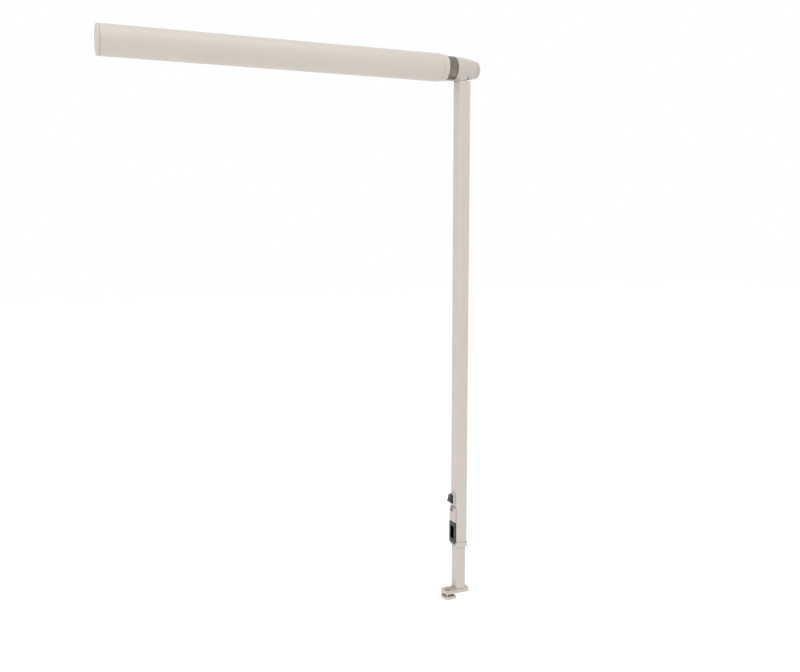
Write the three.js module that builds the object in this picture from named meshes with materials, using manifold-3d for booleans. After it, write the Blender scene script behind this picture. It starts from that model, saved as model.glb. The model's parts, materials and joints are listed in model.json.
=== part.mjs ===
// Tubular task lamp on a telescopic square column, held by a small edge clamp.
// Millimetres, +Z up. The origin is on the underside of the foot plate, on the column's centre line.
// The head runs along -X. The controls are on the column's -X face, near its lower end.

import * as THREE from 'three';
import { mergeVertices } from 'three/addons/utils/BufferGeometryUtils.js';
import Module from 'manifold-3d';

// ---- driving dimensions ---------------------------------------------------------------------

const GAP = 0.3; // between pieces that touch
const RUNNING = 0.3; // around anything that turns or slides

const AXIS_Z = 965; // head axis above the foot plate's underside
const LAMP_LENGTH = 549; // 14 W, 16 mm fluorescent lamp, without its pins
const LAMP_R = 8;
const LAMP_CAP = 5; // depth of a lamp's metal cap
const LAMP_PIN_R = 1.2;
const LAMP_PIN_PITCH = 4.75;
const LAMP_PIN_LENGTH = 7;
const LAMP_WALL = 0.8;

const HEAD_R = 24;
const HEAD_WALL = 1.5;
const APERTURE_HALF = 35; // degrees each side of the light's direction
const APERTURE_TURN = 48; // degrees the light is turned from straight down towards +Y
const APERTURE_END = 8; // plain tube left at each end, past the cap's plug
const DIFFUSER_WALL = 1.5;
const DIFFUSER_LAP = 7; // degrees the diffuser reaches behind the tube's edge
const REFLECTOR_R = HEAD_R - 6.5;
const REFLECTOR_WALL = 0.8;
const REFLECTOR_HALF = 125; // degrees each side of the middle of its back
const WIRE_R = 1.3;
const PLUG_WALL = 2;
const PLUG_DEPTH = 11;
const NEAR_CAP_LENGTH = 12;
const NEAR_CAP_STEP = 1.5; // the near cap is this much smaller in radius than the tube
const FAR_CAP_LENGTH = 3.7;
const HOLDER_R = 12;

const COLLAR_LENGTH = 15.4;
const COLLAR_STEP = 3; // the dark collar is this much smaller in radius than the tube
const WASHER = 1;

const BARREL_R = 20.3; // elbow barrel at its flange
const FLANGE_X = -16.5;
const WEB_LENGTH = 12; // solid web that carries the pivot bushes
const NOSE_X = 24; // where the elbow's barrel ends and its nose cap starts
const NOSE_LENGTH = 8.7;
const NOSE_DROP = 5; // how much the barrel's radius falls from flange to nose
const NOSE_WALL = 3;
const PIVOT_R = 7;
const PIVOT_BORE = 4.5;
const BUSH_WALL = 1.7;
const NUT_LENGTH = 5.5;

const COLUMN_X = 22.5;
const COLUMN_Y = 28;
const COLUMN_CORNER = 5;
const COLUMN_WALL = 1.8;
const COLUMN_BOTTOM = 99;
const NECK_HEIGHT = 21.7; // from the column's top to the head axis
const SPIGOT_DEPTH = 28;
const PASSAGE_R = 4;

const POST_WALL = 1.6;
const POST_TOP = 295;
const SLOT_BOTTOM = 90; // above this the post is a channel open to -X
const RING_HEIGHT = 9.4; // sliding ring under the column
const RING_STEP = 0.8;
const LUG_HEIGHT = 10.8;

const PLATE = 7.5;
const PLATE_BACK = 17.5;
const PLATE_Y = 26;
const TONGUE = 5.5;
const TONGUE_END = -33.5;
const PLATE_FRONT = -10;
const FOOT_SPIGOT = 22;
const PAD = 1.2;
const THROAT = 5;
const JAW = 5.4;
const CLAMP_X = -22.5;
const CLAMP_R = 2.5;
const CLAMP_HEAD_R = 5;
const CLAMP_HEAD = 3.4;
const GUIDE_X = -27.5;
const GUIDE_Y = 8;
const GUIDE_R = 1.5;

const BOX_DEPTH = 2.9; // how far the control box stands off the column
const BOX_Y = 22;
const BOX_BOTTOM = 95.3;
const BOX_TOP = 165.2;
const INLET_HEIGHT = 41;
const INLET_FLANGE = 1.8;
const INLET_BODY_Y = 19;
const INLET_BODY_Z = 29;
const INLET_DEPTH = 16.4;
const SOCKET_Y = 14;
const SOCKET_Z = 24;
const SOCKET_FLOOR = 2;
const PIN_PITCH = 7;
const PIN_Y = 4;
const PIN_Z = 2;
const PIN_SETBACK = 5;
const PIN_OFFSET = 2;
const PIN_TAIL = 1.2; // how far the pins stand out behind the shell

const BREAKER_Z = 160;
const BREAKER_R = 5;
const BUTTON_R = 2.5;
const BUTTON_TRAVEL = 1.5;
const BUTTON_PROUD = 2.6;

const ROCKER_Z = 180.5;
const ROCKER_Y = 11;
const ROCKER_HALF = 8.6; // radius that the rocker's ends sweep
const ROCKER_TILT = 14; // degrees, at rest
const ROCKER_PROUD = 8.9; // how far the rocker's ends stand out from its pivot
const BEZEL_Y = 15;
const BEZEL_Z = 21.5;
const BEZEL_DEPTH = 3.6;

const BALLAST_BOTTOM = 325;
const BALLAST_LENGTH = 200;

const SCREW_R = 1.6;
const SCREW_HEAD_R = 3;
const SCREW_HEAD = 1.6;

const FINE = 32; // sides of a large round
const COARSE = 12; // sides of a small round

// ---- sizes that follow ----------------------------------------------------------------------

const COLUMN_TOP = AXIS_Z - NECK_HEIGHT;
const COLUMN_FACE = -COLUMN_X / 2;
const BORE_X = COLUMN_X - 2 * COLUMN_WALL;
const BORE_Y = COLUMN_Y - 2 * COLUMN_WALL;
const BORE_CORNER = COLUMN_CORNER - COLUMN_WALL;
const POST_X = BORE_X - 2 * RUNNING;
const POST_Y = BORE_Y - 2 * RUNNING;
const POST_CORNER = BORE_CORNER - RUNNING;
const POST_BORE_X = POST_X - 2 * POST_WALL;
const POST_BORE_Y = POST_Y - 2 * POST_WALL;
const SLOT_Y = INLET_BODY_Y + 2 * RUNNING;
const BOX_FACE = COLUMN_FACE - BOX_DEPTH;
const INLET_Z = BOX_BOTTOM + GAP + INLET_HEIGHT / 2;

const COLLAR_START = FLANGE_X - GAP - WASHER - GAP;
const COLLAR_END = COLLAR_START - COLLAR_LENGTH;
const NEAR_CAP_START = COLLAR_END - GAP;
const TUBE_START = NEAR_CAP_START - NEAR_CAP_LENGTH - GAP;
const LAMP_START = TUBE_START - PLUG_DEPTH - GAP;
const LAMP_END = LAMP_START - LAMP_LENGTH;
const TUBE_END = LAMP_END - GAP - PLUG_DEPTH;
const TUBE_BORE = HEAD_R - HEAD_WALL;
const PLUG_R = TUBE_BORE - GAP;
const CAVITY_R = BARREL_R - NOSE_DROP - NOSE_WALL;
const WEB_END = FLANGE_X + WEB_LENGTH;

// ---- materials ------------------------------------------------------------------------------

function finish(color, roughness, metalness) {
  return () => new THREE.MeshStandardMaterial({ color, roughness, metalness });
}

const cream = finish(0xd6d0c6, 0.45, 0.0);
const gunmetal = finish(0x4b4239, 0.3, 0.9);
const black = finish(0x2b2723, 0.45, 0.0);
const steel = finish(0xb7b3ad, 0.35, 1.0);
const brass = finish(0xb08d4a, 0.35, 1.0);
const white = finish(0xeeece6, 0.5, 0.0);
const opal = finish(0xf4f1ea, 0.35, 0.0);
const rubber = finish(0x35322e, 0.8, 0.0);

// ---- solids ---------------------------------------------------------------------------------

const wasm = await Module();
wasm.setup();

// Six times the volume that the triangles enclose: negative when the faces point inwards.
function signedVolume(points, triangles) {
  const a = new THREE.Vector3();
  const b = new THREE.Vector3();
  const c = new THREE.Vector3();
  let sum = 0;
  for (let i = 0; i < triangles.length; i += 3) {
    a.fromArray(points, 3 * triangles[i]);
    b.fromArray(points, 3 * triangles[i + 1]);
    c.fromArray(points, 3 * triangles[i + 2]);
    sum += a.dot(b.cross(c));
  }
  return sum;
}

function solid(geometry) {
  geometry.deleteAttribute('normal');
  geometry.deleteAttribute('uv');
  const merged = mergeVertices(geometry, 1e-4);
  const points = new Float32Array(merged.attributes.position.array);
  const index = merged.index.array;
  const triangles = [];
  for (let i = 0; i < index.length; i += 3) {
    const [a, b, c] = [index[i], index[i + 1], index[i + 2]];
    if (a !== b && b !== c && c !== a) triangles.push(a, b, c);
  }
  if (signedVolume(points, triangles) < 0) triangles.reverse();
  const mesh = new wasm.Mesh({ numProp: 3, vertProperties: points, triVerts: new Uint32Array(triangles) });
  return new wasm.Manifold(mesh);
}

function box(x, y, z) {
  const geometry = new THREE.BoxGeometry(x[1] - x[0], y[1] - y[0], z[1] - z[0]);
  geometry.translate((x[0] + x[1]) / 2, (y[0] + y[1]) / 2, (z[0] + z[1]) / 2);
  return solid(geometry);
}

function roundedRectangle(width, height, corner, x = 0, y = 0) {
  const [w, h] = [width / 2 - corner, height / 2 - corner];
  const shape = new THREE.Shape();
  shape.absarc(x + w, y - h, corner, -Math.PI / 2, 0);
  shape.absarc(x + w, y + h, corner, 0, Math.PI / 2);
  shape.absarc(x - w, y + h, corner, Math.PI / 2, Math.PI);
  shape.absarc(x - w, y - h, corner, Math.PI, 1.5 * Math.PI);
  shape.closePath();
  return shape;
}

function outline(points) {
  return new THREE.Shape(points.map(([x, y]) => new THREE.Vector2(x, y)));
}

function extrude(shape, depth, curveSegments) {
  return new THREE.ExtrudeGeometry(shape, { depth, bevelEnabled: false, curveSegments });
}

// A prism that stands on an outline in XY.
function prismZ(shape, z, curveSegments = 4) {
  const geometry = extrude(shape, z[1] - z[0], curveSegments);
  geometry.translate(0, 0, z[0]);
  return solid(geometry);
}

// A prism along Y, from an outline in XZ.
function prismY(shape, y, curveSegments = 4) {
  const geometry = extrude(shape, y[1] - y[0], curveSegments);
  geometry.rotateX(Math.PI / 2);
  geometry.translate(0, y[1], 0);
  return solid(geometry);
}

// A prism along X, from an outline in YZ.
function prismX(shape, x, curveSegments = 4) {
  const geometry = extrude(shape, x[1] - x[0], curveSegments);
  const toX = new THREE.Matrix4().makeBasis(
    new THREE.Vector3(0, 1, 0),
    new THREE.Vector3(0, 0, 1),
    new THREE.Vector3(1, 0, 0),
  );
  geometry.applyMatrix4(toX);
  geometry.translate(x[0], 0, 0);
  return solid(geometry);
}

// A turned solid about a line along X: the profile is [x, radius] pairs.
function turnX(profile, y, z, sides = FINE) {
  const geometry = new THREE.LatheGeometry(profile.map(([x, r]) => new THREE.Vector2(r, x)), sides);
  geometry.rotateZ(-Math.PI / 2);
  geometry.translate(0, y, z);
  return solid(geometry);
}

// A turned solid about a line along Z: the profile is [z, radius] pairs.
function turnZ(profile, x, y, sides = FINE) {
  const geometry = new THREE.LatheGeometry(profile.map(([z, r]) => new THREE.Vector2(r, z)), sides);
  geometry.rotateX(Math.PI / 2);
  geometry.translate(x, y, 0);
  return solid(geometry);
}

function rodX(r, x, y, z, sides = COARSE) {
  return turnX([[x[0], 0], [x[0], r], [x[1], r], [x[1], 0]], y, z, sides);
}

function rodZ(r, z, x, y, sides = COARSE) {
  return turnZ([[z[0], 0], [z[0], r], [z[1], r], [z[1], 0]], x, y, sides);
}

function rodY(r, y, x, z, sides = COARSE) {
  const geometry = new THREE.CylinderGeometry(r, r, y[1] - y[0], sides);
  geometry.translate(x, (y[0] + y[1]) / 2, z);
  return solid(geometry);
}

function tubeX(outer, inner, x, sides = FINE) {
  const profile = [[x[0], inner], [x[0], outer], [x[1], outer], [x[1], inner], [x[0], inner]];
  return turnX(profile, 0, AXIS_Z, sides);
}

// A part of a ring about the head's axis, swept to each side of a direction in the YZ plane.
function arcX(outer, inner, middle, half, x, curveSegments) {
  const [from, to] = [THREE.MathUtils.degToRad(middle - half), THREE.MathUtils.degToRad(middle + half)];
  const shape = new THREE.Shape();
  shape.absarc(0, AXIS_Z, outer, from, to, false);
  shape.absarc(0, AXIS_Z, inner, to, from, true);
  shape.closePath();
  return prismX(shape, x, curveSegments);
}

const lamp = new THREE.Group();

function piece(name, manifold, material) {
  const { vertProperties, triVerts } = manifold.getMesh();
  const geometry = new THREE.BufferGeometry();
  geometry.setAttribute('position', new THREE.BufferAttribute(vertProperties, 3));
  geometry.setIndex(new THREE.BufferAttribute(triVerts, 1));
  geometry.computeVertexNormals();
  const mesh = new THREE.Mesh(geometry, material());
  mesh.name = name;
  lamp.add(mesh);
}

// ---- foot and clamp -------------------------------------------------------------------------

const PLATE_CORNER = 5;
const TONGUE_CORNER = 10;

function footCasting() {
  const length = PLATE_BACK - PLATE_FRONT;
  const middle = (PLATE_BACK + PLATE_FRONT) / 2;
  const plate = prismZ(roundedRectangle(length, PLATE_Y, PLATE_CORNER, middle), [0, PLATE]);
  const reach = PLATE_FRONT + TONGUE_CORNER - TONGUE_END;
  const tongue = roundedRectangle(reach, PLATE_Y, TONGUE_CORNER, TONGUE_END + reach / 2);
  const spigot = roundedRectangle(POST_BORE_X - 2 * GAP, POST_BORE_Y - 2 * GAP, 1);
  const [recessX, recessY] = [length / 3, PLATE_Y / 3];
  const recess = box([middle - recessX, middle + recessX], [-recessY, recessY], [-1, PAD + GAP]);
  let casting = plate.add(prismZ(tongue, [0, TONGUE], 6));
  casting = casting.add(prismZ(spigot, [PLATE - 1, PLATE + FOOT_SPIGOT], 2));
  casting = casting.subtract(recess);
  casting = casting.subtract(rodZ(CLAMP_R + RUNNING, [-1, TONGUE + 1], CLAMP_X, 0));
  for (const side of [-1, 1]) {
    casting = casting.subtract(rodZ(GUIDE_R + GAP, [-1, TONGUE - 1], GUIDE_X, side * GUIDE_Y));
  }
  for (const z of POST_SCREWS) {
    casting = casting.subtract(rodX(SCREW_R + GAP, [0, COLUMN_X], 0, z));
  }
  return casting;
}

const POST_SCREWS = [PLATE + 8, PLATE + 17];
const padLength = (PLATE_BACK - PLATE_FRONT) / 3 - GAP;
const padMiddle = (PLATE_BACK + PLATE_FRONT) / 2;

piece('foot_casting', footCasting(), cream);
piece(
  'seat_pad',
  box([padMiddle - padLength, padMiddle + padLength], [GAP - PLATE_Y / 3, PLATE_Y / 3 - GAP], [0, PAD]),
  rubber,
);

function postTube() {
  const outer = prismZ(roundedRectangle(POST_X, POST_Y, POST_CORNER), [PLATE + GAP, POST_TOP]);
  const bore = prismZ(roundedRectangle(POST_BORE_X, POST_BORE_Y, 1), [PLATE, POST_TOP + 1], 2);
  const slot = box([-COLUMN_X, 0], [-SLOT_Y / 2, SLOT_Y / 2], [SLOT_BOTTOM, POST_TOP + 1]);
  let post = outer.subtract(bore).subtract(slot);
  for (const z of POST_SCREWS) {
    post = post.subtract(rodX(SCREW_R + GAP, [0, COLUMN_X], 0, z));
  }
  return post;
}

piece('post_tube', postTube(), cream);

// A pan-head screw whose head sits on a face of constant X, entering towards -X or +X.
function screwX(face, length, y, z, outward) {
  const head = [face + outward * GAP, face + outward * (GAP + SCREW_HEAD)].sort((a, b) => a - b);
  const shank = [face + outward * (GAP + SCREW_HEAD / 2), face - outward * length].sort((a, b) => a - b);
  return rodX(SCREW_HEAD_R, head, y, z).add(rodX(SCREW_R, shank, y, z));
}

// The same on a face of constant Y.
function screwY(face, length, x, z, outward) {
  const head = [face + outward * GAP, face + outward * (GAP + SCREW_HEAD)].sort((a, b) => a - b);
  const shank = [face + outward * (GAP + SCREW_HEAD / 2), face - outward * length].sort((a, b) => a - b);
  return rodY(SCREW_HEAD_R, head, x, z).add(rodY(SCREW_R, shank, x, z));
}

piece('post_screw_lower', screwX(POST_X / 2, 6, 0, POST_SCREWS[0], 1), steel);
piece('post_screw_upper', screwX(POST_X / 2, 6, 0, POST_SCREWS[1], 1), steel);

function clampJaw() {
  const end = PLATE_FRONT - 0.5;
  const reach = PLATE_FRONT + TONGUE_CORNER - TONGUE_END;
  const shape = roundedRectangle(reach, PLATE_Y, TONGUE_CORNER, TONGUE_END + reach / 2);
  let jaw = prismZ(shape, [-THROAT - JAW, -THROAT], 6);
  jaw = jaw.intersect(box([TONGUE_END - 1, end], [-PLATE_Y, PLATE_Y], [-THROAT - JAW - 1, 0]));
  jaw = jaw.subtract(rodZ(CLAMP_R + RUNNING, [-THROAT - JAW - 1, 0], CLAMP_X, 0));
  for (const side of [-1, 1]) {
    jaw = jaw.subtract(rodZ(GUIDE_R + RUNNING, [-THROAT - JAW - 1, 0], GUIDE_X, side * GUIDE_Y));
  }
  return jaw;
}

function clampScrew() {
  const head = [TONGUE + GAP, TONGUE + GAP + CLAMP_HEAD];
  const knob = rodZ(CLAMP_HEAD_R, head, CLAMP_X, 0, 24);
  const socket = new THREE.CylinderGeometry(2.2, 2.2, 6, 6);
  socket.rotateX(Math.PI / 2);
  socket.translate(CLAMP_X, 0, head[1] + 0.5);
  const shank = rodZ(CLAMP_R, [-THROAT - JAW + GAP, head[0] + 1], CLAMP_X, 0);
  return knob.subtract(solid(socket)).add(shank);
}

piece('clamp_jaw', clampJaw(), cream);
piece('clamp_screw', clampScrew(), gunmetal);
const guides = { guide_pin_front: -1, guide_pin_rear: 1 };
for (const [name, side] of Object.entries(guides)) {
  piece(name, rodZ(GUIDE_R, [-THROAT - JAW + 1, TONGUE - 1 - GAP], GUIDE_X, side * GUIDE_Y), steel);
}

// ---- column ---------------------------------------------------------------------------------

const ELBOW_SCREWS = [COLUMN_TOP - SPIGOT_DEPTH + 7, COLUMN_TOP - 8];
const BALLAST_SCREWS = [BALLAST_BOTTOM + 20, BALLAST_BOTTOM + BALLAST_LENGTH - 20];
const BUSH_R = BUTTON_R + RUNNING + 1.2;

function columnTube() {
  const outer = prismZ(roundedRectangle(COLUMN_X, COLUMN_Y, COLUMN_CORNER), [COLUMN_BOTTOM, COLUMN_TOP]);
  const bore = roundedRectangle(BORE_X, BORE_Y, BORE_CORNER);
  let tube = outer.subtract(prismZ(bore, [COLUMN_BOTTOM - 1, COLUMN_TOP + 1]));
  const through = [COLUMN_FACE - 1, 0];
  tube = tube.subtract(inletBody(GAP, through));
  tube = tube.subtract(switchThroat(GAP, through));
  tube = tube.subtract(rodX(BUSH_R + GAP, through, 0, BREAKER_Z));
  for (const z of [...ELBOW_SCREWS, ...BALLAST_SCREWS]) {
    tube = tube.subtract(rodY(SCREW_R + GAP, [0, COLUMN_Y], 0, z));
  }
  return tube;
}

function inletBody(clearance, x) {
  const [y, z] = [INLET_BODY_Y / 2 + clearance, INLET_BODY_Z / 2 + clearance];
  return box(x, [-y, y], [INLET_Z - z, INLET_Z + z]);
}

const THROAT_Y = ROCKER_Y / 2 + RUNNING + 1;
const THROAT_Z = ROCKER_HALF + RUNNING + 1;

function switchThroat(clearance, x) {
  const [y, z] = [THROAT_Y + clearance, THROAT_Z + clearance];
  return box(x, [-y, y], [ROCKER_Z - z, ROCKER_Z + z]);
}

piece('column_tube', columnTube(), cream);

// The ring that slides on the post, with a lug that runs in the post's slot.
const LOCK_Y = -5;
const LOCK_R = 1.75;
const LOCK_HEAD_R = 2.6;
const LOCK_PAD_R = 2.35;
const RING_TOP = COLUMN_BOTTOM - GAP;
const LOCK_Z = RING_TOP - RING_HEIGHT / 2 - 1.4;

function slidingRing() {
  const [x, y] = [COLUMN_X + 2 * RING_STEP, COLUMN_Y + 2 * RING_STEP];
  const bottom = RING_TOP - RING_HEIGHT;
  const outer = prismZ(roundedRectangle(x, y, COLUMN_CORNER), [bottom + 1, RING_TOP]);
  const lip = prismZ(roundedRectangle(x - 2, y - 2, COLUMN_CORNER - 1), [bottom, bottom + 2]);
  const bore = prismZ(roundedRectangle(BORE_X, BORE_Y, BORE_CORNER), [bottom - 1, RING_TOP + 1]);
  const lugFace = -BORE_X / 2 + GAP;
  const lug = box([lugFace, lugFace + 3], [-8, 8], [SLOT_BOTTOM + GAP, SLOT_BOTTOM + GAP + LUG_HEIGHT]);
  const root = box([lugFace - 1.5, lugFace + 1], [-8, 8], [SLOT_BOTTOM + GAP, RING_TOP]);
  let ring = outer.add(lip).subtract(bore).add(lug).add(root);
  ring = ring.subtract(rodX(LOCK_R + RUNNING, [-COLUMN_X, 0], LOCK_Y, LOCK_Z));
  return ring.subtract(rodX(LOCK_PAD_R + GAP, [-BORE_X / 2 - 1.2, 0], LOCK_Y, LOCK_Z));
}

function lockScrew() {
  const face = COLUMN_FACE - RING_STEP;
  const head = rodX(LOCK_HEAD_R, [face - GAP - 2.2, face - GAP], LOCK_Y, LOCK_Z);
  return head.add(rodX(LOCK_R, [face - GAP - 1, -BORE_X / 2 - 1.2 - GAP / 2], LOCK_Y, LOCK_Z));
}

piece('sliding_ring', slidingRing(), cream);
piece('lock_screw', lockScrew(), gunmetal);
piece('lock_pad', rodX(LOCK_PAD_R, [-BORE_X / 2 - 0.9, -BORE_X / 2], LOCK_Y, LOCK_Z), brass);

// A cover above the inlet, held by the breaker's nut.
function controlBox() {
  const face = COLUMN_FACE - GAP;
  const height = BOX_TOP - BOX_BOTTOM;
  const middle = (BOX_TOP + BOX_BOTTOM) / 2;
  const front = prismX(roundedRectangle(BOX_Y, height, 3, 0, middle), [BOX_FACE, face]);
  const seat = box([BOX_FACE - 1, 0], [-COLUMN_Y, COLUMN_Y], [0, INLET_TOP + GAP]);
  return front.subtract(seat).subtract(rodX(BUSH_R + GAP, [BOX_FACE - 1, 0], 0, BREAKER_Z));
}

const INLET_TOP = INLET_Z + INLET_HEIGHT / 2;
const INLET_SCREWS = [INLET_Z - INLET_HEIGHT / 2 + 3.4, INLET_TOP - 3.4];
const INLET_BACK = BOX_FACE + INLET_DEPTH;
const PIN_PLACES = {
  inlet_pin_earth: [-PIN_OFFSET, INLET_Z],
  inlet_pin_neutral: [PIN_OFFSET, INLET_Z - PIN_PITCH],
  inlet_pin_line: [PIN_OFFSET, INLET_Z + PIN_PITCH],
};

function pin([y, z], clearance, x) {
  const [halfY, halfZ] = [PIN_Y / 2 + clearance, PIN_Z / 2 + clearance];
  return box(x, [y - halfY, y + halfY], [z - halfZ, z + halfZ]);
}

// Its flange stands on the column, and its lower edge reaches down in front of the ring.
function inletShell() {
  const flange = roundedRectangle(BOX_Y, INLET_HEIGHT, 3, 0, INLET_Z);
  const back = [COLUMN_BOTTOM + GAP, INLET_TOP - 1];
  let shell = prismX(flange, [BOX_FACE, BOX_FACE + INLET_FLANGE]);
  shell = shell.add(box([BOX_FACE + 1, COLUMN_FACE - GAP], [1 - BOX_Y / 2, BOX_Y / 2 - 1], back));
  shell = shell.add(inletBody(0, [BOX_FACE + 1, INLET_BACK]));
  const socket = roundedRectangle(SOCKET_Y, SOCKET_Z, 2, 0, INLET_Z);
  shell = shell.subtract(prismX(socket, [BOX_FACE - 1, INLET_BACK - SOCKET_FLOOR]));
  for (const place of Object.values(PIN_PLACES)) {
    shell = shell.subtract(pin(place, GAP, [BOX_FACE, INLET_BACK + 1]));
  }
  for (const z of INLET_SCREWS) {
    shell = shell.subtract(rodX(SCREW_R + GAP, [BOX_FACE - 1, 0], 0, z));
    shell = shell.subtract(rodX(2.4 + GAP, [BOX_FACE - 1, BOX_FACE + 1.1], 0, z));
  }
  return shell;
}

piece('control_box', controlBox(), cream);
piece('inlet_shell', inletShell(), black);
for (const [name, place] of Object.entries(PIN_PLACES)) {
  piece(name, pin(place, 0, [BOX_FACE + PIN_SETBACK, INLET_BACK + PIN_TAIL]), steel);
}
const inletScrewNames = ['inlet_screw_lower', 'inlet_screw_upper'];
inletScrewNames.forEach((name, i) => {
  const head = rodX(2.4, [BOX_FACE, BOX_FACE + 0.8], 0, INLET_SCREWS[i]);
  const shank = rodX(SCREW_R, [BOX_FACE + 0.4, BOX_FACE + INLET_FLANGE], 0, INLET_SCREWS[i]);
  piece(name, head.add(shank), steel);
});

// Thermal breaker with its reset button.
const BREAKER_FACE = -BORE_X / 2 + GAP;

function breakerBody() {
  const body = rodX(BREAKER_R, [BREAKER_FACE, BREAKER_FACE + 12], 0, BREAKER_Z, 24);
  const travel = [BREAKER_FACE - 1, BREAKER_FACE + BUTTON_TRAVEL + 1];
  return body.subtract(rodX(BUTTON_R + RUNNING, travel, 0, BREAKER_Z));
}

function breakerBush() {
  const nut = rodX(BUSH_R + 0.6, [BOX_FACE - GAP - 1, BOX_FACE - GAP], 0, BREAKER_Z, 24);
  const bush = nut.add(rodX(BUSH_R, [BOX_FACE - GAP - 0.5, BREAKER_FACE - GAP], 0, BREAKER_Z, 24));
  return bush.subtract(rodX(BUTTON_R + RUNNING, [BOX_FACE - 3, 0], 0, BREAKER_Z, 24));
}

piece('breaker_body', breakerBody(), black);
piece('breaker_bush', breakerBush(), steel);
piece('reset_button', rodX(BUTTON_R, [BOX_FACE - BUTTON_PROUD, BREAKER_FACE], 0, BREAKER_Z, 24), black);

// Rocker switch: its pivot is on the line through (PIVOT_X, ROCKER_Z) along Y.
const ROCKER_PIVOT_X = COLUMN_FACE - 1.25;
const BODY_FACE = -BORE_X / 2 + GAP;

function switchBezel() {
  const plate = roundedRectangle(BEZEL_Y, BEZEL_Z, 1.5, 0, ROCKER_Z);
  const frame = prismX(plate, [COLUMN_FACE - GAP - BEZEL_DEPTH, COLUMN_FACE - GAP]);
  const throat = switchThroat(0, [COLUMN_FACE - GAP - 1, BODY_FACE - GAP]);
  const [y, z] = [ROCKER_Y / 2 + RUNNING, ROCKER_HALF + RUNNING];
  return frame.add(throat).subtract(box([-COLUMN_X, 0], [-y, y], [ROCKER_Z - z, ROCKER_Z + z]));
}

function rocker() {
  const half = [
    [1.2, 5.5],
    [-0.3, ROCKER_HALF],
    [-3.8, ROCKER_HALF - 0.9],
    [-0.83 * ROCKER_PROUD, ROCKER_HALF - 1.7],
    [-ROCKER_PROUD, ROCKER_HALF - 2.7],
  ];
  const mirrored = half.map(([x, z]) => [x, -z]).reverse();
  const shape = outline([...half, [-0.82 * ROCKER_PROUD, 0], ...mirrored]);
  const geometry = extrude(shape, ROCKER_Y, 1);
  geometry.rotateX(Math.PI / 2);
  geometry.translate(0, ROCKER_Y / 2, 0);
  geometry.rotateY(THREE.MathUtils.degToRad(ROCKER_TILT));
  geometry.translate(ROCKER_PIVOT_X, 0, ROCKER_Z);
  return solid(geometry);
}

function switchBody() {
  const [y, z] = [THROAT_Y, THROAT_Z];
  return box([BODY_FACE + 0.2, BODY_FACE + 12], [-y, y], [ROCKER_Z - z, ROCKER_Z + z]);
}

piece('switch_bezel', switchBezel(), cream);
piece('rocker', rocker(), black);
piece('switch_body', switchBody(), black);

// Ballast and wiring inside the column.
function ballast() {
  const z = [BALLAST_BOTTOM, BALLAST_BOTTOM + BALLAST_LENGTH];
  let can = prismZ(roundedRectangle(BORE_X - 2, BORE_Y - 2, 2), z, 2);
  for (const screw of BALLAST_SCREWS) {
    can = can.subtract(rodY(SCREW_R + GAP, [BORE_Y / 2 - 6, BORE_Y], 0, screw));
  }
  return can;
}

const MAINS_X = POST_BORE_X / 2 - WIRE_R - 0.8;
piece('ballast', ballast(), white);
piece('mains_loom', rodZ(WIRE_R, [INLET_Z, BALLAST_BOTTOM - GAP], MAINS_X, 0, 10), white);
piece('ballast_screw_lower', screwY(COLUMN_Y / 2, 6.5, 0, BALLAST_SCREWS[0], 1), steel);
piece('ballast_screw_upper', screwY(COLUMN_Y / 2, 6.5, 0, BALLAST_SCREWS[1], 1), steel);

// ---- elbow ----------------------------------------------------------------------------------

const NECK_RIGHT = 3; // the neck's edge where it meets the column, on the nose's side
const PASSAGE_X = -1.5;

function elbowCasting() {
  const profile = [
    [FLANGE_X, 0],
    [FLANGE_X, BARREL_R],
    [FLANGE_X + 2, BARREL_R],
    [0, BARREL_R - 0.05 * NOSE_DROP],
    [7.5, BARREL_R - 0.27 * NOSE_DROP],
    [14.5, BARREL_R - 0.54 * NOSE_DROP],
    [20, BARREL_R - 0.8 * NOSE_DROP],
    [NOSE_X, BARREL_R - NOSE_DROP],
    [NOSE_X, 0],
  ];
  const barrel = turnX(profile, 0, AXIS_Z);
  const block = prismZ(roundedRectangle(COLUMN_X, COLUMN_Y, COLUMN_CORNER), [COLUMN_TOP + GAP, AXIS_Z]);
  const flank = outline([
    [-COLUMN_X, COLUMN_TOP],
    [NECK_RIGHT, COLUMN_TOP],
    [COLUMN_X / 2 - 1, COLUMN_TOP + 12],
    [COLUMN_X / 2 - 1, AXIS_Z],
    [-COLUMN_X, AXIS_Z],
  ]);
  const neck = block.intersect(prismY(flank, [-COLUMN_Y, COLUMN_Y]));
  const inside = roundedRectangle(BORE_X - 2 * GAP, BORE_Y - 2 * GAP, BORE_CORNER - GAP);
  const long = prismZ(inside, [COLUMN_TOP - SPIGOT_DEPTH, COLUMN_TOP + 1]);
  const notch = box([NECK_RIGHT, COLUMN_X], [-COLUMN_Y, COLUMN_Y], [COLUMN_TOP - 12, COLUMN_TOP + 2]);
  const spigot = long.subtract(notch);
  let casting = barrel.add(neck).add(spigot);
  const cavity = rodX(CAVITY_R, [WEB_END, NOSE_X + 1], 0, AXIS_Z, FINE);
  const bore = rodX(PIVOT_R + RUNNING + BUSH_WALL + GAP, [FLANGE_X - 1, WEB_END + 1], 0, AXIS_Z, FINE);
  casting = casting.subtract(cavity).subtract(bore);
  const passage = rodZ(PASSAGE_R, [COLUMN_TOP - SPIGOT_DEPTH - 1, AXIS_Z - CAVITY_R + 4], PASSAGE_X, 0);
  casting = casting.subtract(passage);
  for (const z of ELBOW_SCREWS) {
    casting = casting.subtract(rodY(SCREW_R + GAP, [BORE_Y / 2 - 6, COLUMN_Y], 0, z));
  }
  return casting;
}

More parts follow.
